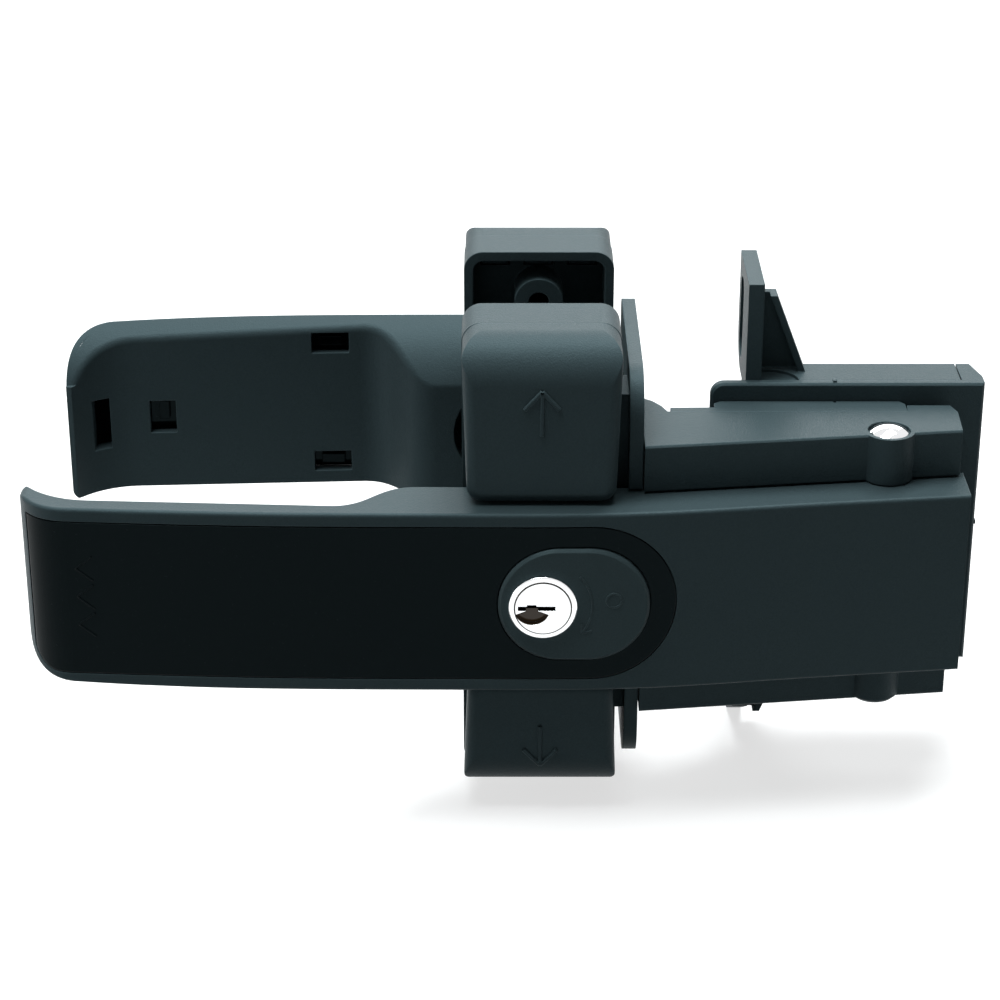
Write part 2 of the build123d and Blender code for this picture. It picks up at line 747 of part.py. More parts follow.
def front_handle_spring():
    return torsion_spring(pivot_x, pivot_y, 3.7, 0.6, (-7.8, 7.8), 7, 0)


# Latch hook

def latch_hook():
    """Lever with a barb behind the striker's plate, and a tail with a drive stud."""
    half = hook_half_height
    barb_y = striker_block_front + 0.7
    plan = polygon([
        (hook_x - 3, hook_y), (hook_x + 3, hook_y), (hook_x + 3, barb_y + 2.6),
        (hook_x + 0.6, barb_y + 4.6), (hook_x - 3 - hook_barb + 1.0, barb_y + 4.0),
        (hook_x - 3 - hook_barb, barb_y + 3.0), (hook_x - 3 - hook_barb, barb_y), (hook_x - 3, barb_y)])
    hook = plan_prism(plan, (-half, half))
    hook += rod_along_z(hook_x, hook_y, 4.6, (-8.7, 8.7))
    stud_x = hook_x + hook_tail
    hook += box((hook_x, stud_x), (hook_y - 2.6, hook_y + 2.6), (-half, half))
    hook += rod_along_z(stud_x, hook_y, 2.6, (-half, half))
    hook += rod_along_z(stud_x, hook_y, drive_stud_radius, (-half, 13.0))
    hook -= armature_room(0.05)
    return hook - rod_along_z(hook_x, hook_y, hook_pin_radius + running_fit, (-20, 20))


def armature_room(grow):
    tip = hook_x - 3 - hook_barb
    y = striker_block_front + 0.7
    return box((tip - 1, tip + 1.2 + grow), (y + 0.6 - grow, y + 2.6 + grow), (-3.6 - grow, 3.6 + grow))


def hook_armature():
    """Steel plate let into the barb, facing the magnet."""
    tip = hook_x - 3 - hook_barb
    return armature_room(0) & box((tip, tip + 5), (0, 40), (-10, 10))


def hook_pin():
    return rod_along_z(hook_x, hook_y, hook_pin_radius, (-13.5, 13.5))


# Rod through the gate

def push_rod():
    """Round rod with domed ends, from the rear handle's heel to the front handle."""
    ends = (-17.0, rear_hub_face - clearance)
    rod = rod_along_y(rod_x, rear_mid_z, rod_radius, ends)
    rim = rod.edges().filter_by(GeomType.CIRCLE)
    return fillet(rim, rod_radius - 0.4)


def hook_spring():
    """Return spring about the hook's pin, above its hub."""
    return torsion_spring(hook_x, hook_y, 5.2, 0.45, (5.8, 8.2), 3, 0)


def rod_sleeve():
    """Guide sleeve for the rod, between the walls of the gate's stile."""
    bore = rod_radius + running_fit
    ends = (stile_wall, gate_thickness - stile_wall)
    sleeve = rod_along_y(rod_x, rear_mid_z, bore + sleeve_wall, ends)
    return sleeve - rod_along_y(rod_x, rear_mid_z, bore, (-5, gate_thickness + 5))


# Rear module

def rear_base():
    body = base_tray()
    body -= middle_pocket((-base_width / 2 + wall, base_width / 2 - wall))
    lug_x = (rear_pivot_x - rear_lug_radius, rear_pivot_x + rear_lug_radius)
    lug_y = -(rear_pivot_y - gate_thickness)
    for side in (-1, 1):
        z = sorted((side * (handle_gap + 2.6), side * (handle_gap + 6.0)))
        lug = box(lug_x, (lug_y, -base_depth + 1), z) + rod_along_z(rear_pivot_x, lug_y, rear_lug_radius, z)
        body += lug
    body -= rod_along_z(rear_pivot_x, lug_y, pivot_radius + 0.03, (-60, 60))
    body -= rod_along_y(rod_x, 0, rod_radius + clearance, (-base_depth - 1, 1))
    return turned(body)


def rear_cover(z):
    shell = cover(z)
    lug_y = -(rear_pivot_y - gate_thickness)
    notch = box((rear_pivot_x - 3.2, rear_pivot_x + 3.2), (lug_y, 0), (-handle_gap - 2.6, handle_gap + 2.6))
    notch += rod_along_z(rear_pivot_x, lug_y, 3.2, (-handle_gap - 2.6, handle_gap + 2.6))
    return turned(shell - notch)


def rear_handle():
    """Short handle on the gate's other face, a copy of the grip with its own hub."""
    plan = rear_plan()
    body = plan_prism(plan, (-half_handle, half_handle))
    body = fillet(crown_edges(body, rear_outer), crown_round)
    body &= front_prism(handle_outline(1), (0, 200))
    body -= gate_side_round(rear_place, 1, rear_handle_right + 1)
    body = fillet(gate_side_crease(body), rear_crease)
    outline = rear_inlay_outline(clearance)
    body -= rear_skin(plan, inlay_thickness) & front_prism(outline, (0, 200))
    under = front_prism(rear_inlay_outline(-2.0), (0, 200)) & box((-118, -48), (0, 200), (-25, 25))
    body -= rear_skin(plan, grip_depth - handle_wall + 0.2) & under
    body -= rear_back_cavity()
    body += rear_hub()
    body -= rod_along_z(rear_pivot_x, rear_pivot_y, pivot_radius + running_fit, (-40, 40))
    body -= rod_along_y(snib_x, 0, snib_radius + running_fit, (0, 200))
    for cut in grip_windows(rear_place, 1):
        body -= cut
    return Pos(0, 0, rear_mid_z) * body


def rear_skin(plan, depth):
    body = plan_prism(plan, (-half_handle, half_handle))
    return body - Pos(depth * 0.5, -depth, 0) * body


def rear_inlay_outline(grow):
    return panel_outline(rear_handle_right - 2.5, 1, grow)


def rear_back_cavity():
    """Round hollow behind the rear handle's hub, open towards the base."""
    depth = (rear_hub_face - 1, rear_outer - 4.2)
    return rod_along_y(rear_pocket_x, rear_pocket_z, rear_pocket_radius, depth)


def rear_hub():
    hub = rod_along_y(snib_x, 0, snib_radius + 2.2, (rear_hub_face + 2, rear_outer - 3.6))
    for side in (-1, 1):
        z = sorted((side * 9.0, side * (half_handle - 0.3)))
        hub += rod_along_z(rear_pivot_x, rear_pivot_y, 5.2, z)
        hub += box((rear_pivot_x - 3, rear_pivot_x + 3), (rear_pivot_y, rear_outer - 3.6), z)
    return hub


def rear_handle_inlay():
    plan = rear_plan()
    panel = rear_skin(plan, inlay_thickness - inlay_bed) & front_prism(rear_inlay_outline(0), (0, 200))
    panel -= rod_along_y(snib_x, 0, snib_radius + 0.6, (0, 200))
    return Pos(0, 0, rear_mid_z) * (panel + inlay_clips(rear_place, 1))


def rear_snib():
    """Turn knob for locking from inside."""
    stem = rod_along_y(snib_x, 0, snib_radius, (rear_hub_face + 2.0, rear_outer + 1.2))
    grip = box((snib_x - 1.6, snib_x + 1.6), (rear_outer + 1.2, rear_outer + 6.5), (-5.2, 5.2))
    grip = fillet(grip.edges().filter_by(lambda e: e.center().Y > rear_outer + 6), 0.8)
    return Pos(0, 0, rear_mid_z) * (stem + grip)


def rear_handle_spring():
    spring = torsion_spring(rear_pivot_x, rear_pivot_y, 3.7, 0.6, (-8.2, 4.4), 6, 0)
    return Pos(0, 0, rear_mid_z) * spring


def rear_pivot_pin():
    reach = handle_gap + 7.0
    pin = rod_along_z(rear_pivot_x, rear_pivot_y, pivot_radius, (rear_mid_z - reach, rear_mid_z + reach))
    return fillet(pin.edges().filter_by(GeomType.CIRCLE), 0.4)


# Striker

def striker_body():
    """Block on the post, with a slotted ear and a gusset above and below."""
    low, high = -striker_half, striker_half
    right = striker_right - striker_wrap - striker_slit
    block = box((ear_x, right), (striker_block_front, striker_back), (low, high))
    room = box((hook_x - 7.5, hook_x + 11), (striker_block_front - 1, striker_back - wall), (-12, 12))
    mid = -striker_mid_z
    block -= Pos(0, 0, mid) * room
    block -= Pos(0, 0, mid) * magnet_room(0.1)
    ear_reach_z = ear_top - striker_mid_z
    ear = ear_outline(ear_reach_z)
    block += side_prism(ear, (ear_x, ear_x + ear_thickness))
    for side in (-1, 1):
        block += gusset(side, ear_reach_z)
        block -= ear_recess(side)
    for side in (-1, 1):
        z = side * (ear_reach_z - 4.4 - ear_slot_length / 2)
        slot = Pos(28.0, z) * Rot(0, 0, 90) * SlotOverall(ear_slot_length, ear_slot_width)
        block -= side_prism(slot, (ear_x - 1, ear_x + ear_thickness + 1))
    for x in striker_screw_x:
        for z in (-striker_screw_z, striker_screw_z):
            block -= rod_along_y(x, z, 1.3, (striker_block_front - 1, striker_back - 2))
    return Pos(0, 0, striker_mid_z) * block


def ear_recess(side):
    """Shallow step beside the ear, with a quarter-round end, in the block's upper and lower face."""
    z = sorted((side * (striker_half - ear_recess_depth), side * (striker_half + 1)))
    flat_end = ear_x + ear_thickness + ear_recess_flat
    room = rod_along_z(flat_end, striker_block_front, ear_recess_radius, z)
    room &= box((flat_end, striker_right), (0, striker_back), (-60, 60))
    return room + box((ear_x + ear_thickness, flat_end), (0, striker_block_front + ear_recess_radius), z)


def ear_outline(reach):
    """Side outline of both ears, with rounded rear corners and the lower one's front cut back."""
    root = striker_half - 4.0
    radius = 10.0
    front = striker_block_front
    points = []
    for side, cut in ((1, 0), (-1, ear_low_cut)):
        points.append([(front, side * (reach - cut)), (front + 1.7 * cut, side * reach),
                       (ear_reach, side * reach), (ear_reach, side * (root + radius)),
                       (ear_reach - radius * 0.29, side * (root + radius * 0.29)),
                       (ear_reach - radius, side * root), (striker_back, side * root)])
    upper, lower = points
    edges = [Line(upper[1], upper[2]), Line(upper[2], upper[3]), ThreePointArc(*upper[3:6]),
             Line(upper[5], upper[6]), Line(upper[6], lower[6]), Line(lower[6], lower[5]),
             ThreePointArc(*lower[5:2:-1]), Line(lower[3], lower[2]), Line(lower[2], lower[1]),
             Line(lower[1], lower[0]), Line(lower[0], upper[1])]
    return make_face(Curve() + edges)


def gusset(side, reach):
    """Web with a raised rim along its slanting edge."""
    x0 = ear_x + ear_thickness - 0.5
    foot, tip = 68.3, 60.4
    z0, z1 = striker_half, reach - 5.2
    web = polygon([(x0, side * (z0 - 1)), (foot, side * (z0 - 1)), (foot, side * z0),
                   (tip, side * z1), (x0, side * z1)])
    rim = polygon([(foot - gusset_rim, side * (z0 - 1)), (foot, side * (z0 - 1)),
                   (foot, side * z0), (tip, side * z1),
                   (tip - gusset_rim, side * z1), (foot - gusset_rim, side * z0)])
    web = front_prism(web, (striker_back - 2.2, striker_back))
    return web + front_prism(rim, (striker_back - 5.4, striker_back))


def magnet_room(grow):
    """Room for the magnet beside the hook's barb."""
    x = (ear_x + ear_thickness + 0.4 - grow, hook_x - 7.5)
    y = (striker_block_front, striker_block_front + 8.0 + grow)
    return box(x, y, (-9 - grow, 9 + grow))


def striker_magnet():
    body = magnet_room(0) & box((0, hook_x - 7.6), (0, 60), (-20, 20))
    return fillet(body.edges().filter_by(Axis.Z), 0.5)


def striker_cover():
    """Front plate with the hook's mouth, wrapped round the block's end."""
    low, high = -striker_half, striker_half
    middle_x = (striker_left + striker_right) / 2
    face = Pos(middle_x, 0) * Rectangle(striker_right - striker_left, 2 * striker_half)
    face = fillet(face.vertices().filter_by(lambda v: v.X < 60), 3.5)
    plate = front_prism(face, (striker_face, striker_block_front))
    side = polygon([(striker_right - striker_wrap, striker_face + 0.5), (striker_right, striker_face + 0.5),
                    (striker_right, striker_face + 5), (striker_right - 2.2, striker_back),
                    (striker_right - striker_wrap, striker_back)])
    plate += plan_prism(side, (low, high))
    plate = chamfer(plate.edges().filter_by(front_rim_edge), 0.6)
    mouth = box((hook_x - 3.5, hook_x + 8.6), (0, 20), (-8.6, 8.6))
    plate -= Pos(0, 0, -striker_mid_z) * mouth
    top = (striker_half - 1, striker_half + index_nub)
    plate += box((index_x - 0.5, index_x + 0.5), (striker_face + 0.7, striker_block_front), top)
    end = (striker_right - 1, striker_right + index_nub)
    plate += box(end, (striker_face + 1.2, striker_face + 2.8), (-index_nub, index_nub))
    for x in striker_screw_x:
        for z in (-striker_screw_z, striker_screw_z):
            plate -= rod_along_y(x, z, 1.7, (0, 20))
            plate -= Pos(x, striker_face + 0.75, z) * Rot(90, 0, 0) * Cone(1.7, 3.2, 1.5)
    return Pos(0, 0, striker_mid_z) * plate


def front_rim_edge(edge):
    return abs(edge.bounding_box().max.Y - striker_face) < 0.01


def striker_screws():
    screws = []
    for x in striker_screw_x:
        for z in (-striker_screw_z, striker_screw_z):
            screw = countersunk_screw(x, z, 0, 10.0)
            flipped = Location((0, striker_face, 0), (0, 0, 180)) * Pos(-2 * x, 0, 0) * screw
            screws.append(Pos(0, 0, striker_mid_z) * flipped)
    return Compound(screws)


upper_cover_z = (handle_gap, base_top)
lower_cover_z = (base_bottom, -handle_gap)

pieces = {
    "front_base": front_base,
    "front_upper_cover": lambda: cover(upper_cover_z),
    "front_lower_cover": lambda: cover(lower_cover_z),
    "latch_housing": latch_housing,
    "housing_back_cover": housing_back_cover,
    "back_cover_screws": back_cover_screws,
    "arm_screws": arm_screws,
    "front_handle": front_handle,
    "front_handle_inlay": front_handle_inlay,
    "lock_escutcheon": lock_escutcheon,
    "lock_barrel": lock_barrel,
    "lock_nut": lock_nut,
    "key_plug": key_plug,
    "lock_cam": lock_cam,
    "cam_screw": cam_screw,
    "pivot_pin": pivot_pin,
    "pivot_clip": pivot_clip,
    "front_handle_spring": front_handle_spring,
    "latch_hook": latch_hook,
    "hook_armature": hook_armature,
    "hook_pin": hook_pin,
    "hook_spring": hook_spring,
    "push_rod": push_rod,
    "rod_sleeve": rod_sleeve,
    "rear_base": rear_base,
    "rear_upper_cover": lambda: rear_cover(lower_cover_z),
    "rear_lower_cover": lambda: rear_cover(upper_cover_z),
    "rear_handle": rear_handle,
    "rear_handle_inlay": rear_handle_inlay,
    "rear_snib": rear_snib,
    "rear_pivot_pin": rear_pivot_pin,
    "rear_handle_spring": rear_handle_spring,
    "striker_body": striker_body,
    "striker_cover": striker_cover,
    "striker_magnet": striker_magnet,
    "striker_screws": striker_screws,
}

for name, make in pieces.items():
    export_step(make(), os.path.join("parts", name + ".step"))
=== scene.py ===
"""Looks of the magnetic gate latch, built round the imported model. Lengths are in metres unless said."""
import json
import math

import bmesh
import bpy
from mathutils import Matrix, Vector
from mathutils.bvhtree import BVHTree


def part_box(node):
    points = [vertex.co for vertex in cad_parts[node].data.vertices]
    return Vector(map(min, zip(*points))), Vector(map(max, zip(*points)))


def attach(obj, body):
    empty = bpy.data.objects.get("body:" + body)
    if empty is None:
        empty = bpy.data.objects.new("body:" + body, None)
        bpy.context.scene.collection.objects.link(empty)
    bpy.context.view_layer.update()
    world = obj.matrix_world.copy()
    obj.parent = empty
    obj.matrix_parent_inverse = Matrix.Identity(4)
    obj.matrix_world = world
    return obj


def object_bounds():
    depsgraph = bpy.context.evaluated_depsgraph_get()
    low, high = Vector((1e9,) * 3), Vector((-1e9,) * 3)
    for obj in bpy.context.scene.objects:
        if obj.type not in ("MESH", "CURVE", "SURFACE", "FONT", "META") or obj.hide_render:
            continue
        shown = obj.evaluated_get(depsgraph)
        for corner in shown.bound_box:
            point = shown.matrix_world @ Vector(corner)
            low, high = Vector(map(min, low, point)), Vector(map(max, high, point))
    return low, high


MM = 0.001

# The photograph's camera, in the model's frame; pitch in degrees, lens and sensor in millimetres
CAMERA_PLACE = (-10.2 * MM, -637.5 * MM, 310.2 * MM)
CAMERA_PITCH = 25.0
CAMERA_LENS = 98.75
CAMERA_SENSOR = 36.0

# Colours, as linear values
PLASTIC = (0.0270, 0.0415, 0.0460)
PLASTIC_SHEEN = (0.62, 0.92, 1.0)
GLOSS_BLACK = (0.0020, 0.0036, 0.0042)
GLOSS_SPECK = (0.010, 0.013, 0.014)
ESCUTCHEON = (0.0290, 0.0440, 0.0480)
CHROME = (0.88, 0.89, 0.90)
BRASS = (0.62, 0.43, 0.16)
# Dark of the key plug's rim, and of the painted shade deep in its cuts
DARK_RIM_AND_SHADE = (0.035, 0.030, 0.026)
STEEL = (0.56, 0.57, 0.58)
SCREW = (0.40, 0.41, 0.42)
NICKEL = (0.70, 0.69, 0.67)
SLEEVE = (0.020, 0.021, 0.022)
WHITE = (1.0, 1.0, 1.0)
AMBIENT_TINT = (0.93, 0.98, 1.0)
LAMP_TINT = (0.95, 0.99, 1.0)

# Shares of a finish's own colour in a plastic's mottle and in a metal's smudges, and of a plastic's
# colour in its painted edge highlight
MOTTLE_DARK = 0.86
MOTTLE_LIGHT = 1.14
EDGE_HIGHLIGHT = 1.9
SMUDGED = 0.93

# Amount added to the painted edge highlight's colour as well
EDGE_HIGHLIGHT_LIFT = 0.004

# Specular levels, where 0.5 is the shader's default
PLASTIC_SPECULAR = 0.14
GLOSS_SPECULAR = 0.055

# Roughness: a plastic's drop and rise, shares of a metal's own, and ranges for two other finishes
ROUGH_DROP = 0.07
ROUGH_RISE = 0.09
METAL_ROUGH_SHARES = (0.7, 1.3)
GLOSS_ROUGHNESS = (0.05, 0.10)
PLUG_ROUGHNESS = (0.07, 0.16)

# Radii that sharp edges are shaded with, and the cosines of a normal's turn on an edge and a flat
PLASTIC_EDGE = 0.45 * MM
GLOSS_EDGE = 0.35 * MM
PLUG_EDGE = 0.2 * MM
METAL_EDGE = 0.15 * MM
EDGE_SAMPLES = 6
EDGE_COSINE = 0.80
FLAT_COSINE = 0.995

# Noise scales, in features to the metre
CLOUDS = 55
FINE_GRAIN = 2300
COARSE_GRAIN = 900
PANEL_SPECKS = 1500
PANEL_SMUDGES = 70
PANEL_RIPPLE = 95
METAL_GRAIN = 900
METAL_SMUDGES = 120
PLUG_GRAIN = 700

# Spans of a noise's values that are stretched over a range, and the most that clouds hide of the mottle
NARROW_SPAN = (0.3, 0.7)
MIDDLE_SPAN = (0.25, 0.75)
WIDE_SPAN = (0.2, 0.8)
SPECK_SPAN = (0.66, 0.74)
CLOUD_COVER = 0.5

# Strengths and depths of the bumps
FINE_BUMP = 0.60
COARSE_BUMP = 0.20
PLASTIC_BUMP_DEPTH = 0.14 * MM
RIPPLE_BUMP = 0.05
RIPPLE_DEPTH = 0.05 * MM
METAL_BUMP = 0.08
METAL_BUMP_DEPTH = 0.02 * MM

# Depths behind the key plug's face between which brass and then shadow set in
BRASS_DEPTHS = (0.15 * MM, 0.5 * MM)
SHADOW_DEPTHS = (0.4 * MM, 1.3 * MM)

# How far inside the key plug's edge its dark rim starts and is full
RIM_START = 0.40 * MM
RIM_FULL = 0.22 * MM

# A raised bar's section, as shares of its width and height
BAR_FOOT = 0.5
BAR_CROWN = 0.28
BAR_SHOULDER = 0.5

# How far a bar sinks into its face, how its points are spaced, and where rays start that find the face
MARK_SINK = 0.15 * MM
MARK_STEP = 0.8 * MM
LEAST_STRAIGHT_STEPS = 2
LEAST_ARC_STEPS = 6
RAY_START_Y = -1.0

# Raised marks: a bar is its width and height, and angles are in degrees
COVER_BAR = (1.1 * MM, 0.65 * MM)
COVER_ARROW = 11.5 * MM
COVER_HEAD = COVER_ARROW * 0.55
COVER_SPREAD = 42
UPPER_ARROW_Z = 49.2 * MM
LOWER_ARROW_Z = -43.0 * MM
CHEVRON_BAR = (0.6 * MM, 0.22 * MM)
CHEVRON_COUNT = 3
CHEVRON_X = -115.2 * MM
CHEVRON_TOP = 8.4 * MM
CHEVRON_PITCH = 7.8 * MM
CHEVRON_LENGTH = 5.4 * MM
CHEVRON_SPREAD = 38
KEY_BAR = (0.55 * MM, 0.20 * MM)
KEY_ARROW_RADIUS = 12.2 * MM
KEY_ARROW_START = 42
KEY_ARROW_END = -38
KEY_HEAD = 2.6 * MM
KEY_SPREAD = 36
KEY_RING_RIGHT = 17.6 * MM
KEY_RING_UP = 1.6 * MM
KEY_RING_RADIUS = 1.9 * MM

# The world's strength; the floor's place and tone, and its glow near the model and far from it
AMBIENT = 0.04
FLOOR_DROP = 0.3 * MM
FLOOR_REACH = 6.0
FLOOR_BOUNCE = 0.10
FLOOR_SHOWN = 0.45
GLOW_NEAR = 0.68
GLOW_FAR = 1.0
GLOW_FADE_START = 0.3
GLOW_FADE_END = 1.5


class Shader:
    """A material's node tree, with short ways to add nodes and link them."""

    def __init__(self, name):
        self.material = bpy.data.materials.new(name)
        self.material.use_nodes = True
        self.tree = self.material.node_tree
        self.surface = self.tree.nodes["Principled BSDF"]
        self.place = self.add("ShaderNodeTexCoord").outputs["Object"]

    def add(self, kind, **values):
        node = self.tree.nodes.new(kind)
        for key, value in values.items():
            setattr(node, key, value)
        return node

    def link(self, source, target):
        self.tree.links.new(source, target)

    def set(self, **values):
        for key, value in values.items():
            self.surface.inputs[key.replace("_", " ")].default_value = value

    def noise(self, scale, detail, roughness=0.5):
        node = self.add("ShaderNodeTexNoise")
        node.inputs["Scale"].default_value = scale
        node.inputs["Detail"].default_value = detail
        node.inputs["Roughness"].default_value = roughness
        self.link(self.place, node.inputs["Vector"])
        return node.outputs["Fac"]

    def remap(self, value, low, high, to_low=0.0, to_high=1.0):
        node = self.add("ShaderNodeMapRange")
        node.inputs["From Min"].default_value = low
        node.inputs["From Max"].default_value = high
        node.inputs["To Min"].default_value = to_low
        node.inputs["To Max"].default_value = to_high
        self.link(value, node.inputs["Value"])
        return node.outputs["Result"]

    def mix(self, factor, first, second):
        """Blend two colours, either of which may be a socket."""
        node = self.add("ShaderNodeMix", data_type="RGBA")
        self.link(factor, node.inputs["Factor"])
        for name, colour in (("A", first), ("B", second)):
            socket = [s for s in node.inputs if s.name == name and s.type == "RGBA"][0]
            if isinstance(colour, bpy.types.NodeSocket):
                self.link(colour, socket)
            else:
                socket.default_value = (*colour, 1.0)
        return [s for s in node.outputs if s.type == "RGBA"][0]

    def bump(self, height, strength, depth, normal):
        node = self.add("ShaderNodeBump")
        node.inputs["Strength"].default_value = strength
        node.inputs["Distance"].default_value = depth
        self.link(height, node.inputs["Height"])
        self.link(normal, node.inputs["Normal"])
        return node.outputs["Normal"]

    def soft_edges(self, radius):
        """Normal that rounds the mesh's sharp edges."""
        node = self.add("ShaderNodeBevel", samples=EDGE_SAMPLES)
        node.inputs["Radius"].default_value = radius
        return node.outputs["Normal"]

    def edge_mask(self, rounded):
        """1 on edges and 0 on flats, from how far the rounded normal turns."""
        geometry = self.add("ShaderNodeNewGeometry")
        dot = self.add("ShaderNodeVectorMath", operation="DOT_PRODUCT")
        self.link(rounded, dot.inputs[0])
        self.link(geometry.outputs["Normal"], dot.inputs[1])
        return self.remap(dot.outputs["Value"], EDGE_COSINE, FLAT_COSINE, to_low=1.0, to_high=0.0)

    def rim_mask(self, centre, radius):
        """1 in a thin ring at a disc's edge, round an axis along Y through the centre (X, Z)."""
        flat = self.add("ShaderNodeMapping", vector_type="POINT")
        flat.inputs["Location"].default_value = (-centre[0], 0.0, -centre[1])
        flat.inputs["Scale"].default_value = (1.0, 0.0, 1.0)
        self.link(self.place, flat.inputs["Vector"])
        reach = self.add("ShaderNodeVectorMath", operation="LENGTH")
        self.link(flat.outputs["Vector"], reach.inputs[0])
        return self.remap(reach.outputs["Value"], radius - RIM_START, radius - RIM_FULL)

    def colour(self, socket):
        self.link(socket, self.surface.inputs["Base Color"])

    def roughness(self, socket):
        self.link(socket, self.surface.inputs["Roughness"])

    def normal(self, socket):
        self.link(socket, self.surface.inputs["Normal"])


def scaled(colour, factor, lift=0.0):
    return [part * factor + lift for part in colour]


def moulded_plastic(name, colour, grain=1.0, rough=0.47):
    """Matte plastic with a fine spark-eroded grain and a painted highlight along its sharp edges."""
    shader = Shader(name)
    rounded = shader.soft_edges(PLASTIC_EDGE)
    clouds = shader.noise(CLOUDS, detail=3.0)
    fine = shader.noise(FINE_GRAIN, detail=3.0, roughness=0.62)
    coarse = shader.noise(COARSE_GRAIN, detail=2.0)
    dark = scaled(colour, MOTTLE_DARK)
    light = scaled(colour, MOTTLE_LIGHT)
    edge_highlight = scaled(colour, EDGE_HIGHLIGHT, EDGE_HIGHLIGHT_LIFT)
    mottle = shader.mix(shader.remap(fine, *NARROW_SPAN), dark, light)
    cloudy = shader.mix(shader.remap(clouds, *NARROW_SPAN, to_high=CLOUD_COVER), mottle, colour)
    # Painted highlight: the colour is lightened where the rounded normal turns on a sharp edge
    shader.colour(shader.mix(shader.edge_mask(rounded), cloudy, edge_highlight))
    shader.roughness(shader.remap(fine, *MIDDLE_SPAN, rough - ROUGH_DROP, rough + ROUGH_RISE))
    grainy = shader.bump(coarse, COARSE_BUMP * grain, PLASTIC_BUMP_DEPTH, rounded)
    shader.normal(shader.bump(fine, FINE_BUMP * grain, PLASTIC_BUMP_DEPTH, grainy))
    shader.set(Specular_IOR_Level=PLASTIC_SPECULAR, Specular_Tint=(*PLASTIC_SHEEN, 1.0))
    return shader.material


def gloss_panel():
    """High-gloss black panel with a faint ripple and a few dull specks."""
    shader = Shader("gloss_black")
    rounded = shader.soft_edges(GLOSS_EDGE)
    specks = shader.noise(PANEL_SPECKS, detail=2.0, roughness=0.7)
    smudges = shader.noise(PANEL_SMUDGES, detail=4.0, roughness=0.6)
    ripple = shader.noise(PANEL_RIPPLE, detail=1.0)
    shader.colour(shader.mix(shader.remap(specks, *SPECK_SPAN), GLOSS_BLACK, GLOSS_SPECK))
    shader.roughness(shader.remap(smudges, *NARROW_SPAN, *GLOSS_ROUGHNESS))
    shader.normal(shader.bump(ripple, RIPPLE_BUMP, RIPPLE_DEPTH, rounded))
    shader.set(Specular_IOR_Level=GLOSS_SPECULAR, Specular_Tint=(*PLASTIC_SHEEN, 1.0))
    return shader.material


def metal(name, colour, rough):
    """Metal with an even finish, a fine grain and faint smudges."""
    shader = Shader(name)
    rounded = shader.soft_edges(METAL_EDGE)
    grain = shader.noise(METAL_GRAIN, detail=4.0, roughness=0.6)
    smudges = shader.noise(METAL_SMUDGES, detail=3.0)
    shader.colour(shader.mix(shader.remap(smudges, *NARROW_SPAN), scaled(colour, SMUDGED), colour))
    smoothest, roughest = METAL_ROUGH_SHARES
    shader.roughness(shader.remap(grain, *WIDE_SPAN, rough * smoothest, rough * roughest))
    shader.normal(shader.bump(grain, METAL_BUMP, METAL_BUMP_DEPTH, rounded))
    shader.set(Metallic=1.0)
    return shader.material


def plug_centre():
    """X and Z of the key plug's axis."""
    low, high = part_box("key_plug")
    return (low.x + high.x) / 2, (low.z + high.z) / 2


def key_plug_metal():
    """Bright plated face with a dark rim, and brass in its cuts under a painted shade that deepens with
    depth.
    """
    low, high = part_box("key_plug")
    face_y = low.y
    radius = (high.x - low.x) / 2
    shader = Shader("key_plug_metal")
    split = shader.add("ShaderNodeSeparateXYZ")
    shader.link(shader.place, split.inputs["Vector"])
    depth = split.outputs["Y"]
    in_brass = shader.remap(depth, face_y + BRASS_DEPTHS[0], face_y + BRASS_DEPTHS[1])
    # Painted shade: the plug's cuts darken with depth behind its face
    in_shadow = shader.remap(depth, face_y + SHADOW_DEPTHS[0], face_y + SHADOW_DEPTHS[1])
    inside = shader.mix(in_shadow, shader.mix(in_brass, CHROME, BRASS), DARK_RIM_AND_SHADE)
    shader.colour(shader.mix(shader.rim_mask(plug_centre(), radius), inside, DARK_RIM_AND_SHADE))
    shader.roughness(shader.remap(shader.noise(PLUG_GRAIN, detail=3.0), *WIDE_SPAN, *PLUG_ROUGHNESS))
    shader.normal(shader.soft_edges(PLUG_EDGE))
    shader.set(Metallic=1.0)
    return shader.material


def make_materials():
    """A material for each slot of the record."""
    return {
        "moulded_plastic": moulded_plastic("charcoal_plastic", PLASTIC),
        "gloss_panel": gloss_panel(),
        "escutcheon_plastic": moulded_plastic("escutcheon_plastic", ESCUTCHEON, grain=0.45, rough=0.40),
        "polished_chrome": metal("polished_chrome", CHROME, rough=0.06),
        "plug_brass": key_plug_metal(),
        "plated_steel": metal("plated_steel", STEEL, rough=0.28),
        "screw_steel": metal("screw_steel", SCREW, rough=0.34),
        "spring_steel": metal("spring_wire", STEEL, rough=0.22),
        "magnet_coating": metal("magnet_nickel", NICKEL, rough=0.18),
        "sleeve_plastic": moulded_plastic("sleeve_plastic", SLEEVE, grain=0.3, rough=0.38),
    }


def dress(frame, materials):
    """Give every CAD node the material of its slot in the record."""
    for entry in frame["record"]["subparts"]:
        mesh = frame["nodes"][entry["node"]].data
        mesh.materials.clear()
        mesh.materials.append(materials[entry["material_slot"]])


def front_of(node):
    """Function that gives the Y of a node's front face at X, Z."""
    mesh = frame["nodes"][node].data
    corners = [vertex.co for vertex in mesh.vertices]
    tree = BVHTree.FromPolygons(corners, [list(face.vertices) for face in mesh.polygons])

    def face_at(x, z):
        return tree.ray_cast(Vector((x, RAY_START_Y, z)), Vector((0, 1, 0)))[0].y

    return face_at


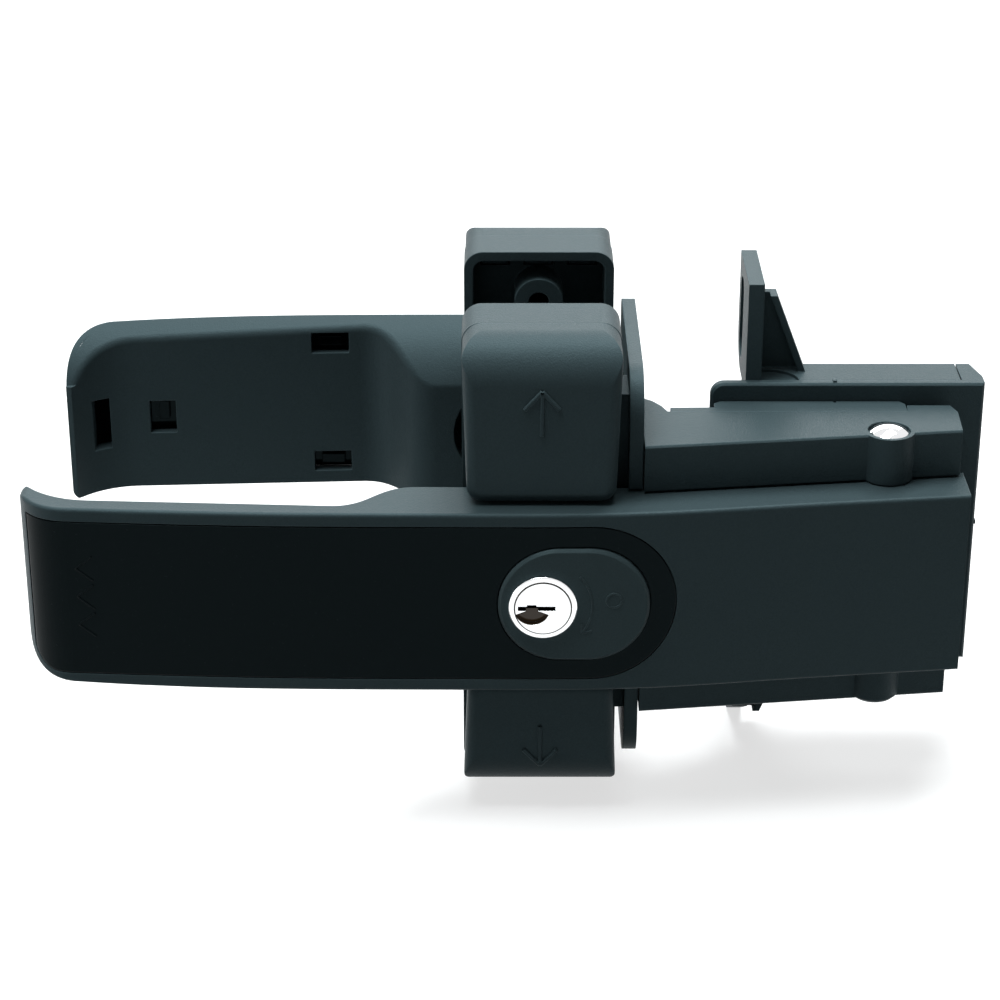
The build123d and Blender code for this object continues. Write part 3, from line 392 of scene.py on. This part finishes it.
def raised_bar(mesh, face_at, points, width, height):
    """Rounded bar through the points (X, Z), laid on a face with its foot just inside it."""
    section = [(-BAR_FOOT, -MARK_SINK), (-BAR_FOOT, BAR_SHOULDER * height), (-BAR_CROWN, height)]
    section += [(-across, lift) for across, lift in reversed(section)]
    rings = []
    for i, point in enumerate(points):
        before = points[max(i - 1, 0)]
        after = points[min(i + 1, len(points) - 1)]
        along = (after - before).normalized()
        ring = []
        for across, lift in section:
            x = point.x - along.y * across * width
            z = point.y + along.x * across * width
            ring.append(mesh.verts.new((x, face_at(x, z) - lift, z)))
        rings.append(ring)
    for first, second in zip(rings, rings[1:]):
        for i in range(len(section)):
            j = (i + 1) % len(section)
            mesh.faces.new((first[i], first[j], second[j], second[i]))
    mesh.faces.new(rings[0])
    mesh.faces.new(list(reversed(rings[-1])))


def on_circle(centre, radius, angle):
    """Point (X, Z) at an angle in degrees from +X towards +Z."""
    turn = math.radians(angle)
    return Vector((centre[0] + radius * math.cos(turn), centre[1] + radius * math.sin(turn)))


def straight(start, end):
    """Points about MARK_STEP apart from start to end, so that a bar follows a curved face."""
    start, end = Vector(start), Vector(end)
    steps = max(LEAST_STRAIGHT_STEPS, round((end - start).length / MARK_STEP))
    return [start.lerp(end, i / steps) for i in range(steps + 1)]


def arc(centre, radius, first, last):
    """Points at most about MARK_STEP apart along an arc, between two angles in degrees."""
    steps = max(LEAST_ARC_STEPS, round(abs(math.radians(last - first)) * radius / MARK_STEP))
    return [on_circle(centre, radius, first + (last - first) * i / steps) for i in range(steps + 1)]


def arrow_head(tip, heading, length, spread):
    """Two bars that meet at an arrow's tip; heading and spread are in degrees."""
    return [straight(tip, on_circle(tip, length, heading + 180 + turn)) for turn in (-spread, spread)]


def raised_mark(name, node, body, slot, bars, size, materials):
    """One piece made of raised bars of one width and height on a node's front face."""
    mesh = bmesh.new()
    face_at = front_of(node)
    for bar in bars:
        raised_bar(mesh, face_at, bar, *size)
    bmesh.ops.recalc_face_normals(mesh, faces=mesh.faces)
    data = bpy.data.meshes.new(name)
    mesh.to_mesh(data)
    mesh.free()
    data.materials.append(materials[slot])
    piece = bpy.data.objects.new(name, data)
    bpy.context.scene.collection.objects.link(piece)
    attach(piece, body)


def cover_marks(materials):
    """A plain arrow on each front cover, up on the upper one and down on the lower."""
    for name, middle, way in (("upper", UPPER_ARROW_Z, 1), ("lower", LOWER_ARROW_Z, -1)):
        tip = (0, middle + way * COVER_ARROW / 2)
        tail = (0, middle - way * COVER_ARROW / 2)
        bars = [straight(tail, tip)] + arrow_head(tip, 90 * way, COVER_HEAD, COVER_SPREAD)
        raised_mark(f"{name}_cover_arrow", f"front_{name}_cover", "root", "moulded_plastic",
                    bars, COVER_BAR, materials)


def inlay_marks(materials):
    """Chevrons near the handle's free end, one above the other."""
    for i in range(CHEVRON_COUNT):
        tip = (CHEVRON_X, CHEVRON_TOP - i * CHEVRON_PITCH)
        bars = arrow_head(tip, 180, CHEVRON_LENGTH, CHEVRON_SPREAD)
        raised_mark(f"pull_chevron_{i + 1}", "front_handle_inlay", "front_handle", "gloss_panel",
                    bars, CHEVRON_BAR, materials)


def key_marks(materials):
    """A curved arrow beside the lock, with a small ring beyond it."""
    centre = plug_centre()
    sweep = arc(centre, KEY_ARROW_RADIUS, KEY_ARROW_START, KEY_ARROW_END)
    bars = [sweep] + arrow_head(sweep[-1], KEY_ARROW_END - 90, KEY_HEAD, KEY_SPREAD)
    ring_centre = (centre[0] + KEY_RING_RIGHT, centre[1] + KEY_RING_UP)
    bars.append(arc(ring_centre, KEY_RING_RADIUS, 0, 360))
    raised_mark("key_turn_arrow", "lock_escutcheon", "front_handle", "escutcheon_plastic",
                bars, KEY_BAR, materials)


def background_rays(tree):
    """1 for camera, glossy and transmission rays, which see a white background."""
    path = tree.nodes.new("ShaderNodeLightPath")
    total = path.outputs["Is Camera Ray"]
    for name in ("Is Glossy Ray", "Is Transmission Ray"):
        add = tree.nodes.new("ShaderNodeMath")
        add.operation = "MAXIMUM"
        tree.links.new(total, add.inputs[0])
        tree.links.new(path.outputs[name], add.inputs[1])
        total = add.outputs["Value"]
    return total


def background(tree, colour, strength):
    node = tree.nodes.new("ShaderNodeBackground")
    node.inputs["Color"].default_value = (*colour, 1)
    node.inputs["Strength"].default_value = strength
    return node.outputs["Background"]


def white_world(ambient):
    """World that looks white, seen or mirrored, and sheds only a faint light."""
    world = bpy.data.worlds.new("studio")
    bpy.context.scene.world = world
    world.use_nodes = True
    tree = world.node_tree
    tree.nodes.clear()
    mix = tree.nodes.new("ShaderNodeMixShader")
    out = tree.nodes.new("ShaderNodeOutputWorld")
    tree.links.new(background_rays(tree), mix.inputs["Fac"])
    tree.links.new(background(tree, AMBIENT_TINT, ambient), mix.inputs[1])
    tree.links.new(background(tree, WHITE, 1.0), mix.inputs[2])
    tree.links.new(mix.outputs["Shader"], out.inputs["Surface"])


def floor_glow(tree, shown):
    """Glow that only background rays see, full far off, where the floor meets the white world."""
    place = tree.nodes.new("ShaderNodeTexCoord")
    reach = tree.nodes.new("ShaderNodeVectorMath")
    reach.operation = "LENGTH"
    tree.links.new(place.outputs["Object"], reach.inputs[0])
    fade = tree.nodes.new("ShaderNodeMapRange")
    fade.inputs["From Min"].default_value = GLOW_FADE_START
    fade.inputs["From Max"].default_value = GLOW_FADE_END
    fade.inputs["To Min"].default_value = GLOW_NEAR
    fade.inputs["To Max"].default_value = GLOW_FAR
    tree.links.new(reach.outputs["Value"], fade.inputs["Value"])
    lift = tree.nodes.new("ShaderNodeMath")
    lift.operation = "MULTIPLY"
    tree.links.new(shown, lift.inputs[0])
    tree.links.new(fade.outputs["Result"], lift.inputs[1])
    glow = tree.nodes.new("ShaderNodeEmission")
    tree.links.new(lift.outputs["Value"], glow.inputs["Strength"])
    return glow.outputs["Emission"]


def floor_material():
    """Diffuse floor that looks pale but bounces little light, with its glow added."""
    material = bpy.data.materials.new("floor")
    material.use_nodes = True
    tree = material.node_tree
    tree.nodes.clear()
    shown = background_rays(tree)
    tone = tree.nodes.new("ShaderNodeMapRange")
    tone.inputs["To Min"].default_value = FLOOR_BOUNCE
    tone.inputs["To Max"].default_value = FLOOR_SHOWN
    tree.links.new(shown, tone.inputs["Value"])
    diffuse = tree.nodes.new("ShaderNodeBsdfDiffuse")
    tree.links.new(tone.outputs["Result"], diffuse.inputs["Color"])
    both = tree.nodes.new("ShaderNodeAddShader")
    out = tree.nodes.new("ShaderNodeOutputMaterial")
    tree.links.new(diffuse.outputs["BSDF"], both.inputs[0])
    tree.links.new(floor_glow(tree, shown), both.inputs[1])
    tree.links.new(both.outputs["Shader"], out.inputs["Surface"])
    return material


def white_floor(height):
    """Pale floor that renders white and keeps a soft shadow."""
    mesh = bpy.data.meshes.new("floor")
    signs = ((-1, -1), (1, -1), (1, 1), (-1, 1))
    corners = [(x * FLOOR_REACH, y * FLOOR_REACH, height) for x, y in signs]
    mesh.from_pydata(corners, [], [(0, 1, 2, 3)])
    mesh.materials.append(floor_material())
    floor = bpy.data.objects.new("floor", mesh)
    bpy.context.scene.collection.objects.link(floor)


def soft_light(name, place, target, size, power):
    """Rectangular lamp that faces a point; the camera doesn't see it, and power is in watts."""
    data = bpy.data.lights.new(name, "AREA")
    data.shape = "RECTANGLE"
    data.size, data.size_y = size
    data.energy = power
    data.color = LAMP_TINT
    light = bpy.data.objects.new(name, data)
    light.location = place
    light.visible_camera = False
    light.rotation_euler = (Vector(target) - Vector(place)).to_track_quat("-Z", "Y").to_euler()
    bpy.context.scene.collection.objects.link(light)


def studio_lights():
    soft_light("overhead", place=(-0.05, 0.10, 1.10), target=(0, 0.05, 0), size=(1.3, 0.45), power=29.0)
    soft_light("back", place=(0.0, 1.25, 0.75), target=(0, 0, 0), size=(1.6, 0.7), power=12.0)
    soft_light("left_fill", place=(-1.1, -0.1, 0.3), target=(0, 0, 0), size=(0.6, 0.6), power=2.0)


def photo_camera():
    data = bpy.data.cameras.new("camera")
    data.sensor_width = CAMERA_SENSOR
    data.lens = CAMERA_LENS
    camera = bpy.data.objects.new("camera", data)
    camera.location = CAMERA_PLACE
    camera.rotation_euler = (math.radians(90 - CAMERA_PITCH), 0, 0)
    bpy.context.scene.collection.objects.link(camera)
    bpy.context.scene.camera = camera


def as_lists(bounds):
    return [list(corner) for corner in bounds]


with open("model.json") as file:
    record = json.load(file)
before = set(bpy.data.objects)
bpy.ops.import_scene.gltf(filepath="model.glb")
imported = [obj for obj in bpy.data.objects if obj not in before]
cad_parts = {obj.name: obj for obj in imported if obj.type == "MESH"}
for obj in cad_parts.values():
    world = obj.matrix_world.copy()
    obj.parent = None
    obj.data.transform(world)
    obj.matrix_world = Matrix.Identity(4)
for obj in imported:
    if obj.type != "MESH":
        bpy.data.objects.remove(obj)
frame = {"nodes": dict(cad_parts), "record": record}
cad_bounds = as_lists(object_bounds())
bpy.context.scene.view_settings.view_transform = "Standard"

photo_camera()
white_world(AMBIENT)
white_floor(cad_bounds[0][2] - FLOOR_DROP)
studio_lights()
finishes = make_materials()
dress(frame, finishes)
cover_marks(finishes)
inlay_marks(finishes)
key_marks(finishes)
